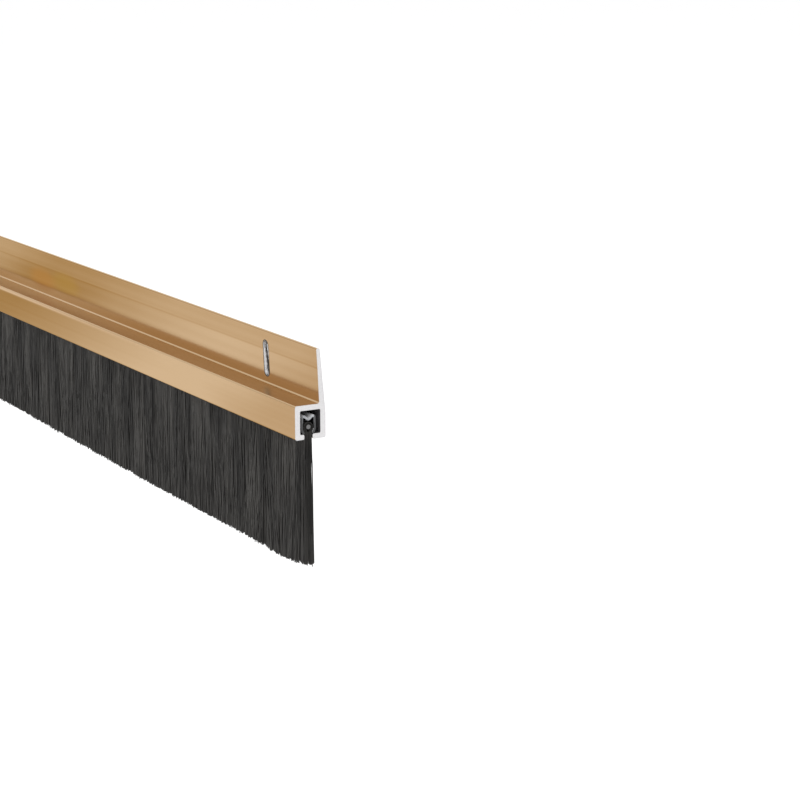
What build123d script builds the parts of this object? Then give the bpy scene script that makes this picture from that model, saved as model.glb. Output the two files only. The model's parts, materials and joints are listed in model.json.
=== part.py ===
"""A brush door sweep: an anodised aluminium carrier with a slide-in strip brush.

Millimetres. X runs along the sweep, +Y faces the door leaf, -Y the room, +Z is up. The origin lies on
the face that meets the door, half-way along the sweep and half-way up the brush channel.
"""
from build123d import *
from math import radians, tan
import os

# Overall sizes
sweep_length = 914.0  # a 3 ft door's sweep
bristle_reach = 25.0  # free bristle below the carrier

# Carrier: a brush channel with a screw flange rising from its back
channel_depth = 6.5
channel_height = 6.7
front_wall = 1.0
back_wall = 1.05
roof_wall = 1.0
lip_wall = 0.95
front_lip = 0.9  # from the front wall to the mouth
mouth_width = 1.85
flange_rise = 10.8  # above the channel's top
flange_root_thickness = 1.1
flange_top_thickness = 0.65
flange_lean = 5.3  # degrees off the door, away from it at the top
lean_start = 5.0  # above the channel's underside
crease_rise = 6.9  # above the channel's top, where the front face breaks slightly
crease_set_back = 0.05  # behind the straight line from root to top
outer_radius = 0.35
inner_radius = 0.2
flange_tip_radius = 0.2
lean_radius = 3.0

# Screw slots, upright, so that the sweep can be set down until its brush meets the floor
slot_count = 5
slot_width = 2.3
slot_height = 7.5
slot_end_distance = 22.0
slot_rise = 5.15  # from the channel's top to the slot's middle

# Strip brush: a crimped steel backing that grips bristles folded over a wire
backing_clearance = 0.2  # to the nearer wall of the carrier
backing_float = 0.1  # above the lips
backing_headroom = 0.5  # below the channel's roof
backing_gauge = 0.45
backing_bend_radius = 0.4  # to the middle of the gauge
jaw_height = 0.9  # the part of each leg that turns in on the bristles
core_wire_diameter = 0.9
wire_clearance = 0.02
fold_side_gap = 0.15  # from the bristles folded round the wire to each leg of the backing
wire_rise = 1.36  # from the backing's foot to the wire's middle
neck_clearance = 0.2  # from the bristles to each lip
jaw_clearance = 0.05
fold_clearance = 0.12  # below the web, which dips until it presses on the fold

# Free bristles, in banks that bend one by one
bank_count = 16
bank_gap = 0.3
bank_thickness = 2.2
bank_root_gap = 0.4  # from the carrier's underside to the top of a bank
neck_stop_gap = 0.25  # from the neck's end to the top of a bank

# Levels and stations worked out from those sizes
underside = -channel_height / 2
lip_top = underside + lip_wall
channel_top = channel_height / 2
channel_roof = channel_top - roof_wall
flange_top = channel_top + flange_rise
front_face = -channel_depth
cavity_front = front_face + front_wall
cavity_back = -back_wall
mouth_front = cavity_front + front_lip
mouth_back = mouth_front + mouth_width
mouth_middle = (mouth_front + mouth_back) / 2
lean_foot = underside + lean_start
backing_half = min(mouth_middle - cavity_front, cavity_back - mouth_middle) - backing_clearance
backing_foot = lip_top + backing_float
backing_top = channel_roof - backing_headroom
neck_width = mouth_width - 2 * neck_clearance
wire_level = backing_foot + wire_rise
wire_bore = core_wire_diameter / 2 + wire_clearance
fold_radius = backing_half - backing_gauge - fold_side_gap
web_dip = backing_top - backing_gauge - fold_clearance - fold_radius - wire_level
pivot_level = underside - bank_root_gap - bank_thickness / 2
tip_level = underside - bristle_reach


def flange_back(level):
    """The flange's back face at a level: it leans away from the door above lean_foot."""
    return -(level - lean_foot) * tan(radians(flange_lean))


def along_sweep(section, length):
    """Extrudes a section drawn on the YZ plane, centred on the middle of the sweep."""
    return extrude(section, amount=length / 2, both=True)


def slot_stations():
    """The slots' places along the sweep: one near each end, the others evenly between them."""
    span = sweep_length - 2 * slot_end_distance
    return [span * (i / (slot_count - 1) - 0.5) for i in range(slot_count)]


def carrier_section():
    root_back, top_back = flange_back(channel_top), flange_back(flange_top)
    root_front = root_back - flange_root_thickness
    top_front = top_back - flange_top_thickness
    crease_front = root_front + (top_front - root_front) * crease_rise / flange_rise + crease_set_back
    corners = [
        (mouth_front, underside, inner_radius),
        (front_face, underside, outer_radius),
        (front_face, channel_top, outer_radius),
        (root_front, channel_top, outer_radius),
        (crease_front, channel_top + crease_rise, lean_radius),
        (top_front, flange_top, flange_tip_radius),
        (top_back, flange_top, flange_tip_radius),
        (0, lean_foot, lean_radius),
        (0, underside, outer_radius),
        (mouth_back, underside, inner_radius),
        (mouth_back, lip_top, inner_radius),
        (cavity_back, lip_top, inner_radius),
        (cavity_back, channel_roof, inner_radius),
        (cavity_front, channel_roof, inner_radius),
        (cavity_front, lip_top, inner_radius),
        (mouth_front, lip_top, inner_radius),
    ]
    outline = FilletPolyline(
        *[(y, z) for y, z, _ in corners], radius=[radius for _, _, radius in corners], close=True
    )
    return Plane.YZ * make_face(outline)


def make_carrier():
    """The extrusion, with its upright slots punched square to the door."""
    slot = SlotOverall(slot_height, slot_width, rotation=90)
    body = along_sweep(carrier_section(), sweep_length)
    for station in slot_stations():
        place = Plane.XZ * Pos(station, channel_top + slot_rise)
        body -= extrude(place * slot, amount=channel_depth, both=True)
    return body


def make_backing():
    """Thin steel folded to a channel: its web dips to a V, and its legs turn in on the bristles."""
    half = backing_half - backing_gauge / 2
    top = backing_top - backing_gauge / 2
    jaw = neck_width / 2 + jaw_clearance + backing_gauge / 2
    line = FilletPolyline(
        (-jaw, backing_foot),
        (-half, backing_foot + jaw_height),
        (-half, top),
        (0, top - web_dip),
        (half, top),
        (half, backing_foot + jaw_height),
        (jaw, backing_foot),
        radius=backing_bend_radius,
    )
    section = trace(line, backing_gauge)
    foot = Pos(0, backing_foot - backing_gauge) * Rectangle(4 * backing_half, 2 * backing_gauge)
    return along_sweep(Plane.YZ * Pos(mouth_middle, 0) * (section - foot), sweep_length)


def make_core_wire():
    return along_sweep(Plane.YZ * Pos(mouth_middle, wire_level) * Circle(core_wire_diameter / 2), sweep_length)


def make_bristle_roots():
    """The bristles' folded middle: a loop round the wire, and a neck that leaves through the mouth."""
    neck_foot = pivot_level + bank_thickness / 2 + neck_stop_gap
    fold = Circle(fold_radius)
    neck = Pos(0, (neck_foot - wire_level) / 2) * Rectangle(neck_width, wire_level - neck_foot)
    section = Pos(mouth_middle, wire_level) * (fold + neck - Circle(wire_bore))
    return along_sweep(Plane.YZ * section, sweep_length)


def make_bristle_bank(number):
    """Free bristles of one stretch, rounded at the top about the line that they bend on."""
    pitch = sweep_length / bank_count
    drop = pivot_level - tip_level
    section = Circle(bank_thickness / 2) + Pos(0, -drop / 2) * Rectangle(bank_thickness, drop)
    bank = along_sweep(Plane.YZ * Pos(mouth_middle, pivot_level) * section, pitch - bank_gap)
    return Pos(pitch * (number - (bank_count + 1) / 2), 0, 0) * bank


os.makedirs("parts", exist_ok=True)
export_step(make_carrier(), "parts/carrier.step")
export_step(make_backing(), "parts/brush_backing.step")
export_step(make_core_wire(), "parts/core_wire.step")
export_step(make_bristle_roots(), "parts/bristle_roots.step")
for number in range(1, bank_count + 1):
    export_step(make_bristle_bank(number), f"parts/bristle_bank_{number:02d}.step")
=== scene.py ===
# %% [markdown]
# # A brush door sweep
#
# A gold anodised aluminium carrier holds a strip brush that closes the gap under a door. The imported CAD
# model gives every place and size here: this script loads it, dresses its metal parts, and grows the
# bristles as real filaments where the CAD model has plain slabs.

# %% Load the frame
import json
from math import pi, radians

import bpy
from mathutils import Euler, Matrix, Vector


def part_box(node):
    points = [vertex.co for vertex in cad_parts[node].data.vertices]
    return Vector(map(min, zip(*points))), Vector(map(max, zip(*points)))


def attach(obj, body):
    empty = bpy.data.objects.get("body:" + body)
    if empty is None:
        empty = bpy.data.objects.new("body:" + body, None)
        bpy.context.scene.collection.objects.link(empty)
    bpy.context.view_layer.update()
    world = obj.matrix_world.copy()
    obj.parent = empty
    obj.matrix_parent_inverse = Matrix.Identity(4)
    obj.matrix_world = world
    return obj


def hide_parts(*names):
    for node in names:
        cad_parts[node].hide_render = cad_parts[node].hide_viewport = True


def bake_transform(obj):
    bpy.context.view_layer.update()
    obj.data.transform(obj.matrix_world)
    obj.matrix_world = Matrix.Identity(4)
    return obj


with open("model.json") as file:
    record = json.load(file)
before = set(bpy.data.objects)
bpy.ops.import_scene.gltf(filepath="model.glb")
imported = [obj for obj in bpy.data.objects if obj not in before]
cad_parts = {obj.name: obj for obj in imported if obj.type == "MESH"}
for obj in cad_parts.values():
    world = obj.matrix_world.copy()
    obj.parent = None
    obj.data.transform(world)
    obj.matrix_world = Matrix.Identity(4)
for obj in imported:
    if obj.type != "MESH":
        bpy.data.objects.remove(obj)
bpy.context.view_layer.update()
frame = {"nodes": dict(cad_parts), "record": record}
MM = 0.001

# %% [markdown]
# Everything below is placed from the boxes of the CAD nodes. Reading them once into plain names keeps the
# later cells short: the carrier's length and levels, the middle of the brush, and the level that the
# bristles bend at.

# %% Sizes read from the frame
carrier_low, carrier_high = (Vector(c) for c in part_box("carrier"))
roots_low, roots_high = (Vector(c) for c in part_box("bristle_roots"))
wire_low, wire_high = (Vector(c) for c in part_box("core_wire"))
banks = sorted(name for name in frame["nodes"] if name.startswith("bristle_bank_"))
bank_boxes = {name: [Vector(c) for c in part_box(name)] for name in banks}
slots = [m for m in frame["record"]["mounts"] if m["name"].startswith("screw_slot_")]

half_length = carrier_high.x
underside = carrier_low.z
brush_middle = (roots_low.y + roots_high.y) / 2
wire_middle = (wire_low + wire_high) / 2
tip_level = bank_boxes[banks[0]][0].z
print(len(banks), "banks,", len(slots), "slots, underside at", round(underside / MM, 2), "mm")

# %% [markdown]
# ## Camera
#
# A long lens from beyond the right-hand end looks along the sweep and slightly down, so the cut end shows
# its section and the rest runs out of view to the left. A camera's place can be given by a target and a
# distance, or outright. Here the place is measured from the near lower corner of the carrier, because that
# corner is what the view is composed on.

# %% Camera
CAMERA_OFFSET = Vector((371.7, -198.65, 100.16)) * MM  # from the carrier's near lower back corner
CAMERA_TURN = 59.92  # degrees, anticlockwise from looking along +Y
CAMERA_DIP = 12.434  # degrees below level
LENS = 100.94

camera = bpy.data.objects.new("camera", bpy.data.cameras.new("camera"))
camera.location = Vector((half_length, 0, underside)) + CAMERA_OFFSET
camera.rotation_euler = Euler((radians(90 - CAMERA_DIP), 0, radians(CAMERA_TURN)))
camera.data.lens, camera.data.sensor_width = LENS, 36
camera.data.clip_start, camera.data.clip_end = 0.01, 50
bpy.context.collection.objects.link(camera)
bpy.context.scene.camera = camera
print("camera at", [round(v, 3) for v in camera.location])

# %% [markdown]
# ## Writing node trees as sums
#
# Shader and Geometry Nodes trees share the same Math node, so one small class can write both. It wraps an
# output socket and overloads Python's operators: `1 - mask * 0.5` then adds two Math nodes. A second class
# holds the tree, and its `add` makes any other kind of node.

# %% Values and trees
class Value:
    """A number in a node tree, with Python's operators."""

    def __init__(self, tree, socket):
        self.tree, self.socket = tree, socket

    def _math(self, operation, *inputs):
        return self.tree.add("ShaderNodeMath", {"operation": operation}, dict(enumerate(inputs))).out()

    def __add__(self, other):
        return self._math("ADD", self, other)

    def __radd__(self, other):
        return self._math("ADD", other, self)

    def __sub__(self, other):
        return self._math("SUBTRACT", self, other)

    def __rsub__(self, other):
        return self._math("SUBTRACT", other, self)

    def __mul__(self, other):
        return self._math("MULTIPLY", self, other)

    def __rmul__(self, other):
        return self._math("MULTIPLY", other, self)

    def __truediv__(self, other):
        return self._math("DIVIDE", self, other)

    def __pow__(self, other):
        return self._math("POWER", self, other)

    def __gt__(self, other):
        return self._math("GREATER_THAN", self, other)

    def __lt__(self, other):
        return self._math("LESS_THAN", self, other)

    def __abs__(self):
        return self._math("ABSOLUTE", self)

    def at_most(self, other):
        return self._math("MINIMUM", self, other)

    def at_least(self, other):
        return self._math("MAXIMUM", self, other)

    def floor(self):
        return self._math("FLOOR", self)

    def sine(self):
        return self._math("SINE", self)

    def cosine(self):
        return self._math("COSINE", self)


class Node:
    """A node, whose outputs come back as values."""

    def __init__(self, tree, node):
        self.tree, self.node = tree, node

    def out(self, key=0):
        return Value(self.tree, self.node.outputs[key])


class Tree:
    """A node tree that a few lines of Python can write."""

    def __init__(self, tree):
        self.nodes, self.links = tree.nodes, tree.links

    def add(self, kind, settings=None, inputs=None):
        """Adds a node: its settings first, then the values or links of its sockets."""
        node = self.nodes.new(kind)
        for name, value in (settings or {}).items():
            setattr(node, name, value)
        for key, value in (inputs or {}).items():
            self.feed(node.inputs[key], value)
        return Node(self, node)

    def feed(self, socket, value):
        """Links a value to a socket, or sets it there."""
        if isinstance(value, Value):
            self.links.new(value.socket, socket)
        else:
            socket.default_value = value

    def vector(self, x, y, z):
        return self.add("ShaderNodeCombineXYZ", {}, {"X": x, "Y": y, "Z": z}).out()

    def split(self, vector):
        node = self.add("ShaderNodeSeparateXYZ", {}, {"Vector": vector})
        return node.out("X"), node.out("Y"), node.out("Z")

    def noise(self, vector, scale=1.0, detail=2.0):
        """Noise from about 0.2 to 0.8."""
        inputs = {"Vector": vector, "Scale": scale, "Detail": detail}
        return self.add("ShaderNodeTexNoise", {}, inputs).out(0)

    def ramp(self, value, low, high):
        """0 below low, 1 above high, and smooth between."""
        inputs = {"Value": value, "From Min": low, "From Max": high}
        return self.add("ShaderNodeMapRange", {"interpolation_type": "SMOOTHSTEP"}, inputs).out()


class Finish(Tree):
    """A material with one Principled shader."""

    def __init__(self, name):
        self.material = bpy.data.materials.new(name)
        self.material.use_nodes = True
        super().__init__(self.material.node_tree)
        self.shader = self.nodes["Principled BSDF"]

    def feed(self, socket, value):
        """Links or sets a value, and gives a colour its alpha."""
        super().feed(socket, (*value, 1) if isinstance(value, tuple) else value)

    def blend(self, mask, first, second):
        """A colour between two others."""
        node = self.add("ShaderNodeMix", {"data_type": "RGBA"}, {0: mask, 6: first, 7: second})
        return node.out(2)

    def bump(self, height, depth):
        """Relief of a depth in metres."""
        return self.add("ShaderNodeBump", {}, {"Height": height, "Distance": depth}).out()

    def set(self, **sockets):
        for name, value in sockets.items():
            self.feed(self.shader.inputs[name.replace("_", " ")], value)
        return self.material


class Spot:
    """Where a point of a surface is, and which way the surface faces there."""

    def __init__(self, finish):
        self.place = finish.add("ShaderNodeTexCoord").out("Object")
        self.x, self.y, self.z = finish.split(self.place)
        normal = finish.add("ShaderNodeNewGeometry").out("True Normal")
        self.facing_x, self.facing_y, self.facing_z = finish.split(normal)


print("trees can be written as sums")

# %% [markdown]
# ## Floor and light
#
# The sweep hangs on a door, so the floor lies clear below it and catches only a faint shadow. Small metal
# parts look like what surrounds them: a bright, even room gives anodising its soft satin look, and the
# inner corner goes dark by itself because it reflects its own gold. A white world does most of that, and
# two large area lights give it a direction.

# %% Floor
FLOOR_DROP = 0.35  # below the bristles' tips
FLOOR_SIZE = 80.0

bpy.ops.mesh.primitive_plane_add(size=FLOOR_SIZE, location=(0, 0, tip_level - FLOOR_DROP))
floor = bpy.context.object
floor.name = "floor"
pale = Finish("pale_floor")
floor.data.materials.append(pale.set(Base_Color=(0.95, 0.95, 0.95), Roughness=0.9))
print("floor at", round(floor.location.z, 3))

# %% Lights
def add_light(name, place, aim, size, power):
    """A square area light that points at aim."""
    light = bpy.data.objects.new(name, bpy.data.lights.new(name, "AREA"))
    light.data.size, light.data.energy = size, power
    light.location = place
    light.rotation_euler = (Vector(aim) - Vector(place)).to_track_quat("-Z", "Y").to_euler()
    bpy.context.collection.objects.link(light)


near_end = Vector((half_length, 0, 0))
add_light("ceiling", Vector((-0.5, -1.0, 2.6)), Vector((-0.5, -1.0, 0)), 3.0, 26)
add_light("key", near_end + Vector((0.6, -1.0, 1.1)), near_end, 0.8, 2.5)

world = bpy.data.worlds.new("room")
world.use_nodes = True
background = world.node_tree.nodes["Background"]
background.inputs["Color"].default_value = (1, 1, 1, 1)
background.inputs["Strength"].default_value = 1.05
bpy.context.scene.world = world
bpy.context.scene.view_settings.view_transform = "Standard"

# %% [markdown]
# ## Metal finishes
#
# An extrusion is drawn through a die, which leaves hair-fine lines along it. Anodising dyes the whole
# skin gold, and then the bar is sawn and punched, so the cut ends and the slots' walls are bare and
# bright. One material can carry both finishes: masks worked out from the surface's direction and place say
# where the metal was cut. An image would need unwrapping; noise stretched along X needs nothing.

# %% Gold anodised aluminium
slot_half_height = max(m["dims"]["slot_length_mm"] for m in slots) / 2 * MM
slot_level = slots[0]["pos_m"][2]
flange_top = carrier_high.z
crease_level = flange_top - 3.9 * MM  # where the flange's front face breaks slightly
ledge_level = -underside  # the channel's top is as high as its underside is low
SKIN_BREAK = 0.08 * MM  # how far the anodising chips back from a sawn edge
INNER_WALL = 0.9 * MM  # a little less than the channel's walls
LIP = 0.8 * MM  # the same for the lips beside the mouth
BATTER = 0.035  # how much the flange's foot leans back for its height
RELIEF = 0.004 * MM
# The painted reflection's tones lean along the sweep by this much for their height.
REFLECTION_LEAN = 2.2  # tones lean along the sweep by this much for their height
PALE_GOLD = (0.545, 0.390, 0.248)
DEEP_GOLD = (0.275, 0.138, 0.038)
# The colour of the painted highlight on the front's rounded top edge.
EDGE_HIGHLIGHT_GOLD = (0.590, 0.425, 0.295)
# The colour of a painted reflection in the inner corner and on the ledge.
REFLECTED_GOLD = (0.600, 0.464, 0.332)
# The colour of the painted shade inside the channel.
CAVITY_SHADE = (0.10, 0.095, 0.10)
# Two painted reflections on the flange: their size, strength, places and colours.
REFLECTION_CLOUD_SIZE = (11 * MM, 3.4 * MM)
REFLECTION_CLOUD_STRENGTH = 0.40
REFLECTION_CLOUDS = (  # from the near end and from the flange's top, and the painted reflection's colour
    ((-144 * MM, -7.0 * MM), (0.42, 0.165, 0.02)),
    ((-129 * MM, -6.2 * MM), (0.36, 0.20, 0.02)),
)


def inset(distance):
    """A place this many millimetres in from either end."""
    return half_length - distance * MM


def find_cuts(spot, speck):
    """Masks of the sawn ends, of the slots' walls, and of everything that cutting left bare."""
    sawn = abs(spot.facing_x) > 0.9
    chipped = abs(spot.x) > (half_length - SKIN_BREAK * (0.3 + 1.4 * speck))
    by_a_slot = abs(spot.z - slot_level) < slot_half_height + 0.1 * MM
    in_slot = (abs(spot.facing_y) < 0.5) * by_a_slot * (1 - sawn)
    return sawn, in_slot, sawn.at_least(chipped).at_least(in_slot)


def painted_light_depth(finish, spot, far, corner):
    """How dark the carrier's front is painted with reflections and shade, from 0 where it is pale to 1."""
    z = spot.z
    # Painted reflection: it drifts along the sweep, from deep far from the ends to pale near them, and then
    # back a little.
    depth = 1 - finish.ramp(far, inset(165), inset(50))
    depth = depth * (0.45 + 0.55 * finish.ramp(far, inset(205), inset(160)))
    above_crease = finish.ramp(z, crease_level - 0.15 * MM, crease_level + 0.15 * MM)
    depth = depth * (1 - 0.28 * above_crease)
    depth = depth + 0.42 * finish.ramp(far, inset(45), inset(5))
    on_flange = z > ledge_level + 1.0 * MM
    depth = depth + 0.16 * on_flange * finish.ramp(far, inset(85), inset(30))
    # The crease is a thin line of painted shadow under a slightly deeper band of painted reflection, and the
    # inner corner is painted pale.
    crease = 1 - finish.ramp(abs(z - crease_level), 0.05 * MM, 0.30 * MM)
    depth = depth.at_least(0.22 * above_crease) + 0.12 * above_crease + 0.2 * crease
    depth = depth * (1 - corner)
    # The lowest edge is painted dark as a reflection of the black bristles, and a thin darker line runs along
    # the highest edge.
    depth = depth + 0.9 * (1 - finish.ramp(z, underside + 0.1 * MM, underside + 0.4 * MM))
    depth = depth + 0.5 * finish.ramp(z, flange_top - 0.30 * MM, flange_top - 0.05 * MM)
    return depth * (1 - finish.ramp(spot.facing_z, 0.3, 0.8))


def painted_edge_highlight(finish, spot, far):
    """A mask of the painted highlight on the rounded edge between the front face and the ledge."""
    highlight_mask = finish.ramp(spot.z, ledge_level - 1.0 * MM, ledge_level - 0.5 * MM)
    highlight_mask = highlight_mask * (1 - finish.ramp(spot.z, ledge_level + 0.25 * MM, ledge_level + 0.45 * MM))
    highlight_mask = highlight_mask * (1 - finish.ramp(spot.facing_z, 0.80, 0.95))
    highlight_mask = highlight_mask * finish.ramp(abs(spot.facing_y), 0.2, 0.5)
    return highlight_mask * (1 - finish.ramp(far, inset(170), inset(40)))


def add_reflection_clouds(finish, spot, gold):
    """Orange and yellow clouds painted on the flange as reflections."""
    for (from_end, from_top), colour in REFLECTION_CLOUDS:
        off_x = (spot.x - half_length - from_end) / REFLECTION_CLOUD_SIZE[0]
        off_z = (spot.z - flange_top - from_top) / REFLECTION_CLOUD_SIZE[1]
        near = 1 - finish.ramp(off_x * off_x + off_z * off_z, 0.0, 1.0)
        gold = finish.blend(near * (abs(spot.facing_y) > 0.9) * REFLECTION_CLOUD_STRENGTH, gold, colour)
    return gold


def make_anodised():
    finish = Finish("gold_anodised_aluminium")
    spot = Spot(finish)
    x, y, z = spot.x, spot.y, spot.z
    lines = finish.noise(finish.vector(x * 2, y * 900, z * 900), detail=3)
    cloud = finish.noise(finish.vector(x * 30, y * 90, z * 90), detail=2)
    speck = finish.noise(spot.place, scale=2600, detail=2)
    sawn, in_slot, bare = find_cuts(spot, speck)

    far = abs(x) - z * REFLECTION_LEAN
    corner = (z > ledge_level) * (1 - finish.ramp(z, ledge_level + 1.6 * MM, ledge_level + 2.5 * MM))
    ledge = finish.ramp(spot.facing_z, 0.80, 0.95)
    # The gold's tone is painted reflection and shade, with real clouds and die lines over it.
    depth = painted_light_depth(finish, spot, far, corner) + 0.2 * (cloud - 0.5) + 0.25 * (lines - 0.5)
    gold = finish.blend(depth, PALE_GOLD, DEEP_GOLD)
    # Painted reflection: the inner corner and the ledge are painted paler away from the ends.
    corner_reflection = corner.at_least(ledge) * (1 - finish.ramp(far, inset(150), inset(80)))
    gold = finish.blend(corner_reflection, gold, REFLECTED_GOLD)
    # Painted highlight along the rounded edge at the top of the front face.
    gold = finish.blend(painted_edge_highlight(finish, spot, far), gold, EDGE_HIGHLIGHT_GOLD)
    gold = add_reflection_clouds(finish, spot, gold)

    # Painted shade: the channel's inner walls are painted dark and made less metallic.
    inside = (y > carrier_low.y + INNER_WALL) * (y < -INNER_WALL) * (z < ledge_level - INNER_WALL)
    inside = inside * (z > underside + LIP) * (1 - sawn)
    gold = finish.blend(inside, gold, CAVITY_SHADE)

    silver = finish.blend(speck, (0.64, 0.63, 0.635), (0.79, 0.78, 0.785))
    silver = finish.blend(in_slot * finish.ramp(speck, 0.45, 0.7), silver, (0.25, 0.245, 0.24))
    teeth = finish.noise(finish.vector(x * 0, y * 5200 + z * 1300, z * 300), detail=2)
    rise = (z - ledge_level).at_least(0).at_most(6 * MM)
    height = bare * teeth * 3 + (1 - bare) * lines - rise * (BATTER / RELIEF)
    return finish.set(
        Base_Color=finish.blend(bare, gold, silver),
        Metallic=1 - 0.9 * inside,
        Roughness=0.10 + 0.06 * lines + 0.2 * bare + 0.16 * ledge * (1 - bare),
        Specular_Tint=(0.85, 0.74, 0.58),
        Normal=finish.bump(height, RELIEF),
    )


anodised = make_anodised()
print("anodised finish:", len(anodised.node_tree.nodes), "nodes")

# %% [markdown]
# The strip brush's backing is zinc coated steel. Zinc freezes into a patchwork of crystals, which a
# Voronoi texture gives directly: every cell has its own slight grey and its own gloss. The cut ends of the
# two jaws are painted black as shade, and the trough of the web is dull and pale near the ends, where air
# gets at the zinc.

# %% Zinc coated steel
def make_zinc():
    finish = Finish("zinc_coated_steel")
    spot = Spot(finish)
    cells = finish.add("ShaderNodeTexVoronoi", {}, {"Vector": spot.place, "Scale": 900})
    tone, _, _ = finish.split(cells.out("Color"))
    scratches = finish.noise(spot.place, scale=3000, detail=3)
    coating = finish.blend(tone * 0.7 + scratches * 0.3, (0.28, 0.285, 0.30), (0.52, 0.53, 0.55))
    # Painted shade: the whole cut end is painted dark except the web, which is near the middle and high up.
    off_middle = abs(spot.y - brush_middle)
    limbs = finish.ramp(off_middle, 1.10 * MM, 1.35 * MM)
    limbs = limbs.at_least(1 - finish.ramp(spot.z, -0.3 * MM, 0.2 * MM))
    painted_shade = limbs * (abs(spot.facing_x) > 0.9) * finish.ramp(scratches, 0.15, 0.35)
    bloom = (spot.facing_z > 0.3) * finish.ramp(abs(spot.x), inset(7), inset(1))
    coating = finish.blend(bloom, coating, (0.66, 0.66, 0.67))
    return finish.set(
        Base_Color=finish.blend(painted_shade * 0.95, coating, (0.022, 0.022, 0.022)),
        Metallic=(1 - painted_shade * 0.9) * (1 - 0.9 * bloom),
        Roughness=0.28 + 0.2 * tone,
        Normal=finish.bump(scratches, 0.01 * MM),
    )


zinc = make_zinc()
print("zinc finish:", len(zinc.node_tree.nodes), "nodes")

# %% Drawn wire
def make_drawn_wire():
    finish = Finish("drawn_wire")
    x, y, z = finish.split(finish.add("ShaderNodeTexCoord").out("Object"))
    lines = finish.noise(finish.vector(x * 20, y * 9000, z * 9000), detail=2)
    return finish.set(
        Base_Color=finish.blend(lines, (0.12, 0.12, 0.12), (0.24, 0.24, 0.24)),
        Metallic=1.0,
        Roughness=0.35 + 0.2 * lines,
        Normal=finish.bump(lines, 0.005 * MM),
    )


drawn_wire = make_drawn_wire()
print("wire finish:", len(drawn_wire.node_tree.nodes), "nodes")

# %% [markdown]
# These three CAD parts already have their real shape, so they stay and only take a finish. Giving a
# material to an object's slot leaves its mesh alone.

# %% Dress the CAD parts
for node, material in (("carrier", anodised), ("brush_backing", zinc), ("core_wire", drawn_wire)):
    mesh = frame["nodes"][node].data
    mesh.materials.clear()
    mesh.materials.append(material)
    print(node, "wears", material.name)

# %% [markdown]
# ## Bristles
#
# The bristles are black filaments of nylon. They reflect light along their length, so neighbours that
# lean a little differently show as lighter and darker streaks, and that is most of what the eye sees.
# A slab with a streaky picture would look flat, and hair particles don't survive an export. So each
# filament is a thin tube of its own.

# %% Black filament
def make_black_filament():
    finish = Finish("black_filament")
    across, along, _ = finish.split(finish.add("ShaderNodeUVMap", {"uv_map": "OFBake"}).out())
    # Painted sheen: lighter streaks and patches across the brush are painted into the colour, over the real
    # sheen, and fine noise varies it filament by filament.
    sheen_streak = finish.noise(finish.vector(across * 30, along * 0.9, 0), detail=2)
    sheen_patch = finish.noise(finish.vector(across * 9, along * 1.8, 7), detail=1)
    fine = finish.noise(finish.vector(across * 2400, along * 1.5, 3), detail=0)
    sheen_and_tone = finish.ramp(sheen_streak * 0.6 + sheen_patch * 0.25 + fine * 0.15, 0.38, 0.64)
    return finish.set(
        Base_Color=finish.blend(sheen_and_tone, (0.013, 0.0121, 0.0110), (0.058, 0.0550, 0.0505)),
        Roughness=0.5 + 0.2 * fine,
        Specular_IOR_Level=0.32,
        Normal=finish.bump(fine, 0.004 * MM),
    )


black_filament = make_black_filament()
print("filament finish:", len(black_filament.node_tree.nodes), "nodes")

# %% [markdown]
# Geometry Nodes grow them. One point is made for every bend of every filament, its place is worked out
# from its number, and Points to Curves threads the points onto curves that Curve to Mesh makes round.
# Numbers do what instances would, and they leave each filament free to differ: where it leaves the mouth,
# how it leans with its clump, and how long the trimmer left it.

# %% A tree for Geometry Nodes
class Growth(Tree):
    """A Geometry Nodes tree with named inputs, which end in its material."""

    def __init__(self, name, inputs):
        self.group = bpy.data.node_groups.new(name, "GeometryNodeTree")
        super().__init__(self.group)
        for label, (kind, default) in inputs.items():
            socket = self.group.interface.new_socket(label, in_out="INPUT", socket_type=kind)
            if default is not None:
                socket.default_value = default
        self.group.interface.new_socket("Mesh", in_out="OUTPUT", socket_type="NodeSocketGeometry")
        self.inputs = self.add("NodeGroupInput")
        self.result = self.nodes.new("NodeGroupOutput")

    def __getitem__(self, label):
        return self.inputs.out(label)

    def random(self, identity, salt):
        """A number from 0 to 1 for each identity."""
        inputs = {"ID": identity, "Seed": self["Seed"] + salt}
        return self.add("FunctionNodeRandomValue", {"data_type": "FLOAT"}, inputs).out(1)

    def keep(self, geometry, name, value, kind="FLOAT", domain="POINT"):
        """Stores a value on the geometry under a name."""
        settings = {"data_type": kind, "domain": domain}
        inputs = {"Geometry": geometry, "Name": name, "Value": value}
        return self.add("GeometryNodeStoreNamedAttribute", settings, inputs).out()

    def kept(self, name):
        return self.add("GeometryNodeInputNamedAttribute", {"data_type": "FLOAT"}, {"Name": name}).out()

    def end(self, geometry):
        """The tree's last nodes: real meshes, and their material."""
        real = self.add("GeometryNodeRealizeInstances", {}, {"Geometry": geometry}).out()
        smooth = self.add("GeometryNodeSetShadeSmooth", {}, {0: real}).out()
        inputs = {"Geometry": smooth, "Material": self["Material"]}
        painted = self.add("GeometryNodeSetMaterial", {}, inputs).out()
        self.feed(self.result.inputs[0], painted)
        return self.group


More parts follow.
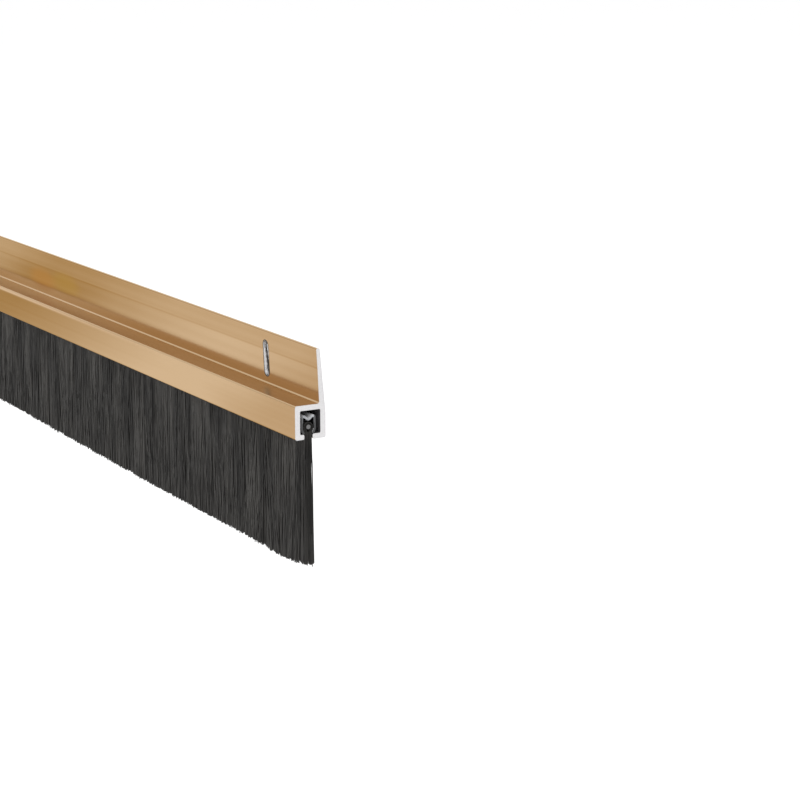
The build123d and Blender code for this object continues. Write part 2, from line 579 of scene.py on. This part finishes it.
def grow(name, group, settings):
    """Runs a tree on an empty object and returns its result as a plain mesh."""
    seedling = bpy.data.objects.new(name + "_growing", bpy.data.meshes.new(name))
    bpy.context.collection.objects.link(seedling)
    modifier = seedling.modifiers.new("grow", "NODES")
    modifier.node_group = group
    for socket in group.interface.items_tree:
        if socket.in_out == "INPUT" and socket.name in settings:
            modifier[socket.identifier] = settings[socket.name]
    ready = seedling.evaluated_get(bpy.context.evaluated_depsgraph_get())
    mesh = bpy.data.meshes.new_from_object(ready)
    bpy.data.objects.remove(seedling)
    piece = bpy.data.objects.new(name, mesh)
    bpy.context.collection.objects.link(piece)
    return piece


print("ready to grow")

# %% [markdown]
# A filament's shape has four parts. It leaves the neck at its own place, and steps by the golden ratio fill
# the neck evenly, as packed bristles do. It flares, because the neck squeezes the brush and the tips are
# free. It leans with its clump, which slow noise along the brush gives to neighbours alike, and a little
# by itself. And its tip was cut by a trimmer, within a millimetre or so, with the odd long one.

# %% The bristle tree
STEPS = 7  # points on a filament: its root, then from the mouth to its tip
SIDES = 3
CROWDING = 1.0008  # the roots stand this much too far apart, so the last of them pile up at the two ends
GOLDEN_STEP = 0.618034
SWELL_LENGTH = 330 * MM  # the trim rises and falls slowly along the brush
SWELL = 0.75 * MM
CLUMP_LEAN, TUFT_LEAN, OWN_LEAN, STRAY_LEAN = 15 * MM, 8 * MM, 4.5 * MM, 10 * MM
SHARE_OF_STRAYS = 0.07


def thread(tree, count, steps, place, radius, values):
    """Tubes through places that are worked out from each point's number."""
    index = tree.add("GeometryNodeInputIndex").out()
    points = tree.add("GeometryNodePoints", {}, {"Count": count * steps, "Position": place}).out()
    for name, value in values.items():
        points = tree.keep(points, name, value)
    inputs = {"Points": points, "Curve Group ID": (index / steps).floor(), "Weight": index}
    curves = tree.add("GeometryNodePointsToCurves", {}, inputs).out()
    ring = tree.add("GeometryNodeCurvePrimitiveCircle", {}, {"Resolution": SIDES, "Radius": radius}).out()
    side = tree.add("GeometryNodeInputIndex").out() / SIDES
    ring = tree.keep(ring, "side", side)
    inputs = {"Curve": curves, "Profile Curve": ring, "Fill Caps": True}
    return tree.add("GeometryNodeCurveToMesh", {}, inputs).out()


def lay_out(tree, mesh):
    """Spreads every tube on a map of the brush: across it by its root, and down it by its length."""
    u = 0.01 + 0.97 * tree.kept("across") + 0.006 * tree.kept("side")
    v = 0.99 - 0.97 * tree.kept("along") - 0.006 * tree.kept("side")
    return tree.keep(mesh, "OFBake", tree.vector(u, v, 0), "FLOAT2", "CORNER")


def make_bristle_tree():
    tree = Growth("bristles", {
        "Centre": ("NodeSocketFloat", 0.0),
        "Length": ("NodeSocketFloat", 0.05),
        "Brush half": ("NodeSocketFloat", 0.4),
        "Middle": ("NodeSocketFloat", 0.0),
        "Root level": ("NodeSocketFloat", 0.0),
        "Mouth level": ("NodeSocketFloat", 0.0),
        "Tip level": ("NodeSocketFloat", -0.025),
        "Neck": ("NodeSocketFloat", 0.0015),
        "Flare": ("NodeSocketFloat", 0.0012),
        "Count": ("NodeSocketInt", 1600),
        "Radius": ("NodeSocketFloat", 0.0001),
        "Seed": ("NodeSocketInt", 1),
        "Material": ("NodeSocketMaterial", None),
    })
    index = tree.add("GeometryNodeInputIndex").out()
    number = (index / STEPS).floor()
    step = index - number * STEPS
    along = step / (STEPS - 1)
    free = ((step - 1) / (STEPS - 2)).at_least(0)
    chance = [tree.random(number, salt) for salt in range(8)]

    across = (number + chance[0]) / tree["Count"]
    root_x = (tree["Centre"] + (across - 0.5) * tree["Length"]) * CROWDING
    packed = number * GOLDEN_STEP
    spread = (packed - packed.floor() - 0.5) * 0.9 + (chance[1] - 0.5) * 0.1
    from_end = tree["Brush half"] - abs(root_x)

    clump = tree.noise(tree.vector(root_x * 210, 0, 0), detail=1) - 0.5
    tuft = tree.noise(tree.vector(root_x * 900, 5, 0), detail=1) - 0.5
    sway = tree.noise(tree.vector(root_x * 160, 9, 0), detail=1) - 0.5
    trim = tree.noise(tree.vector(root_x * 1300, 13, 0), detail=2) - 0.5

    extra = ((from_end - 42 * MM) * (2 * pi / SWELL_LENGTH)).cosine() * SWELL - 0.45 * MM
    long_tuft = tree.ramp(from_end, 2 * MM, 7 * MM) * (1 - tree.ramp(from_end, 12 * MM, 26 * MM))
    rounding = 1 - tree.ramp(from_end, 0.0, 4 * MM)
    extra = extra + 0.5 * MM * long_tuft - 0.2 * MM * rounding
    extra = extra + trim * 1.4 * MM + (chance[2] - 0.5) * 0.4 * MM + chance[3] ** 18 * 0.4 * MM
    bottom = tree["Tip level"] - extra
    hidden = tree["Root level"] - tree["Mouth level"]
    z = tree["Mouth level"] - free * (tree["Mouth level"] - bottom) + (step < 0.5) * hidden

    stray = (chance[7] > 1 - SHARE_OF_STRAYS) * (chance[6] - 0.5) * STRAY_LEAN
    lean = clump * CLUMP_LEAN + tuft * TUFT_LEAN + (chance[4] - 0.5) * OWN_LEAN + stray
    wave = (free * pi * (1 + chance[6])).sine() * (chance[5] - 0.5) * 0.7 * MM
    x = root_x + lean * free + wave
    end = tree["Brush half"] - chance[7] * 0.05 * MM
    x = x.at_most(end).at_least(0 - end)
    depth = sway * 0.8 * MM + (chance[6] - 0.5) * 0.2 * MM
    y = tree["Middle"] + spread * (tree["Neck"] + tree["Flare"] * free ** 0.7) + depth * free * free

    values = {"across": across, "along": along}
    mesh = thread(tree, tree["Count"], STEPS, tree.vector(x, y, z), tree["Radius"], values)
    return tree.end(lay_out(tree, mesh))


bristle_tree = make_bristle_tree()
print("bristle tree:", len(bristle_tree.nodes), "nodes")

# %% [markdown]
# Each CAD bank gets its own piece.

# %% Grow the banks
FILAMENT_RADIUS = 0.11 * MM
FILAMENTS_PER_MM = 46
ROOT_DROP = 0.9 * MM  # the filaments start this far below the middle of the wire
bank_pitch = 2 * half_length / len(banks)

for number, bank in enumerate(banks):
    low, high = bank_boxes[bank]
    bristles = grow("bristles_" + bank[-2:], bristle_tree, {
        "Centre": (low.x + high.x) / 2,
        "Length": bank_pitch,
        "Brush half": half_length,
        "Middle": brush_middle,
        "Root level": wire_middle.z - ROOT_DROP,
        "Mouth level": underside,
        "Tip level": tip_level,
        "Neck": 1.6 * MM,
        "Flare": 0.55 * MM,
        "Count": round(bank_pitch / MM * FILAMENTS_PER_MM),
        "Radius": FILAMENT_RADIUS,
        "Seed": 100 + 20 * number,
        "Material": black_filament,
    })
    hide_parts(bank)
    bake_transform(bristles)
    if number == 0:
        print(bristles.name, "has", len(bristles.data.polygons), "faces")

# %% [markdown]
# Inside the backing every bristle is folded over the wire, and the fold shows at the two cut ends. The
# same way of threading points makes the folds: each one comes up from the neck, round the wire and down
# again. Most of them stand close to the ends, where they can be seen.

# %% The folds
FOLD_STEPS = 9
FOLD_TURN = radians(300)  # how far a fold goes round the wire
FOOT_RISE = 0.6 * MM  # a fold's feet stop this far above the mouth


def make_fold_tree():
    tree = Growth("folds", {
        "Brush half": ("NodeSocketFloat", 0.4),
        "Middle": ("NodeSocketFloat", 0.0),
        "Wire level": ("NodeSocketFloat", 0.0),
        "Foot level": ("NodeSocketFloat", -0.001),
        "Inner": ("NodeSocketFloat", 0.0005),
        "Outer": ("NodeSocketFloat", 0.001),
        "Neck": ("NodeSocketFloat", 0.0013),
        "Count": ("NodeSocketInt", 2400),
        "Radius": ("NodeSocketFloat", 0.0001),
        "Seed": ("NodeSocketInt", 1),
        "Material": ("NodeSocketMaterial", None),
    })
    index = tree.add("GeometryNodeInputIndex").out()
    number = (index / FOLD_STEPS).floor()
    step = index - number * FOLD_STEPS
    along = step / (FOLD_STEPS - 1)
    chance = [tree.random(number, salt) for salt in range(4)]

    across = (number + chance[0]) / tree["Count"]
    side = across * 2 - 1
    crowded = 1 - (1 - abs(side)) ** 3
    direction = tree.add("ShaderNodeMath", {"operation": "SIGN"}, {0: side}).out()
    x = direction * crowded * (tree["Brush half"] - 0.1 * MM)

    reach = tree["Inner"] + chance[1] * (tree["Outer"] - tree["Inner"])
    turn = (0.5 - along) * FOLD_TURN + pi / 2
    is_foot = (abs(along - 0.5) > 0.45) * 1
    foot_y = (along - 0.5) * tree["Neck"] * (0.3 + 0.7 * chance[2])
    y = tree["Middle"] + (1 - is_foot) * turn.cosine() * reach + is_foot * foot_y
    arc_z = tree["Wire level"] + turn.sine() * reach
    z = (1 - is_foot) * arc_z + is_foot * tree["Foot level"]
    values = {"across": across, "along": along}
    mesh = thread(tree, tree["Count"], FOLD_STEPS, tree.vector(x, y, z), tree["Radius"], values)
    return tree.end(lay_out(tree, mesh))


wire_radius = (wire_high.y - wire_low.y) / 2
fold_radius = (roots_high.y - roots_low.y) / 2
folds = grow("bristle_folds", make_fold_tree(), {
    "Brush half": half_length,
    "Middle": brush_middle,
    "Wire level": wire_middle.z,
    "Foot level": underside + FOOT_RISE,
    "Inner": wire_radius + FILAMENT_RADIUS,
    "Outer": fold_radius - FILAMENT_RADIUS,
    "Neck": 1.25 * MM,
    "Count": 2400,
    "Radius": FILAMENT_RADIUS,
    "Seed": 7,
    "Material": black_filament,
})
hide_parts("bristle_roots")
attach(folds, "strip_brush")
print(folds.name, "has", len(folds.data.polygons), "faces")

# %% [markdown]
# ## Burrs
#
# Saws and punches push up a thin, uneven lip of bare metal. It runs along every cut edge, and the
# extrusion's own corners are all rounded, so the sharp edges of the CAD mesh are exactly the cut ones. The
# tree picks them by their angle and runs a fine wire of changing thickness along them. At the back of a
# slot the wire is flattened and thick on one side, like a lip that the punch tore over. Round the slots the
# wires are dark, as painted shade; only the burrs of the sawn ends are bare metal.

# %% Cut edges
FIN = 0.25  # a burr torn over to one side is this thick for its width
SHARP = radians(50)
slot_pitch = abs(slots[0]["pos_m"][0]) / (len(slots) // 2)


def make_burr_tree():
    tree = Growth("burrs", {
        "Part": ("NodeSocketObject", None),
        "Inner end": ("NodeSocketFloat", 0.0),
        "Outer end": ("NodeSocketFloat", 1.0),
        "Front": ("NodeSocketFloat", -1.0),
        "Back": ("NodeSocketFloat", 1.0),
        "Radius": ("NodeSocketFloat", 0.00006),
        "One side": ("NodeSocketFloat", 0.0),
        "Spacing": ("NodeSocketFloat", 0.0003),
        "Material": ("NodeSocketMaterial", None),
    })
    part = tree.add("GeometryNodeObjectInfo", {}, {"Object": tree["Part"]}).out("Geometry")
    welded = tree.add("GeometryNodeMergeByDistance", {}, {"Geometry": part, "Distance": 0.002 * MM}).out()
    place = tree.add("GeometryNodeInputPosition").out()
    x, y, _ = tree.split(place)
    sharp = tree.add("GeometryNodeInputMeshEdgeAngle").out(0) > SHARP
    wanted = sharp * (abs(x) > tree["Inner end"]) * (abs(x) < tree["Outer end"])
    wanted = wanted * (y > tree["Front"]) * (y < tree["Back"])
    edges = tree.add("GeometryNodeMeshToCurve", {}, {"Mesh": welded, "Selection": wanted}).out()
    inputs = {"Curve": edges, "Length": tree["Spacing"]}
    lines = tree.add("GeometryNodeResampleCurve", {"mode": "LENGTH"}, inputs).out()
    ragged = tree.noise(place, scale=1800, detail=2)
    in_slot = x - (x / slot_pitch + 0.5).floor() * slot_pitch
    near_side = (1 - tree["One side"]) + tree["One side"] * (0.2 + 0.8 * (in_slot < -0.5 * MM))
    size = near_side * (0.35 + 1.1 * tree.ramp(ragged, 0.35, 0.7))
    lines = tree.add("GeometryNodeSetCurveRadius", {}, {"Curve": lines, "Radius": size}).out()
    half_thick = tree["Radius"] * FIN
    inward = tree.vector(tree["Radius"] * size * near_side, 0 - half_thick * size, 0)
    inputs = {"Geometry": lines, "Offset": inward, "Selection": tree["One side"] > 0.5}
    lines = tree.add("GeometryNodeSetPosition", {}, inputs).out()
    lines = tree.keep(lines, "depth", tree.split(tree.add("GeometryNodeInputPosition").out())[1])
    ring = tree.add("GeometryNodeCurvePrimitiveCircle", {}, {"Resolution": 6, "Radius": tree["Radius"]}).out()
    mesh = tree.add("GeometryNodeCurveToMesh", {}, {"Curve": lines, "Profile Curve": ring}).out()
    flat = tree.vector(0, (tree.kept("depth") - y) * (1 - FIN), 0)
    inputs = {"Geometry": mesh, "Offset": flat, "Selection": tree["One side"] > 0.5}
    return tree.end(tree.add("GeometryNodeSetPosition", {}, inputs).out())


def make_bare_metal(name, dark, light):
    finish = Finish(name)
    place = finish.add("ShaderNodeTexCoord").out("Object")
    speck = finish.noise(place, scale=4000, detail=2)
    return finish.set(
        Base_Color=finish.blend(speck, dark, light),
        Metallic=1.0,
        Roughness=0.3 + 0.2 * speck,
        Normal=finish.bump(speck, 0.01 * MM),
    )


burr_tree = make_burr_tree()
bare_metal = make_bare_metal("bare_aluminium", (0.55, 0.55, 0.56), (0.82, 0.81, 0.82))
# Painted shade: this dark metal stands for the shade in and round the slots.
shade_dark_metal = make_bare_metal("shade_dark_aluminium", (0.02, 0.018, 0.016), (0.13, 0.12, 0.11))
END_ZONE = half_length - 1 * MM
FLANGE_MIDDLE = -1.05 * MM  # between the flange's two faces, along the slots
BURRS = (
    ("saw_burrs", (END_ZONE, 1.0), (-1.0, 1.0), 0.045 * MM, 0.0, bare_metal),
    # The slots' front rims and the fins at their backs are dark as painted shade.
    ("slot_rims", (0.0, END_ZONE), (-1.0, FLANGE_MIDDLE), 0.055 * MM, 0.0, shade_dark_metal),
    ("slot_burrs", (0.0, END_ZONE), (FLANGE_MIDDLE, 1.0), 0.27 * MM, 1.0, shade_dark_metal),
)
for name, ends, depths, radius, one_side, material in BURRS:
    burrs = grow(name, burr_tree, {
        "Part": frame["nodes"]["carrier"],
        "Inner end": ends[0],
        "Outer end": ends[1],
        "Front": depths[0],
        "Back": depths[1],
        "Radius": radius,
        "One side": one_side,
        "Spacing": 0.25 * MM,
        "Material": material,
    })
    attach(burrs, "carrier")
    print(name, "has", len(burrs.data.polygons), "faces")
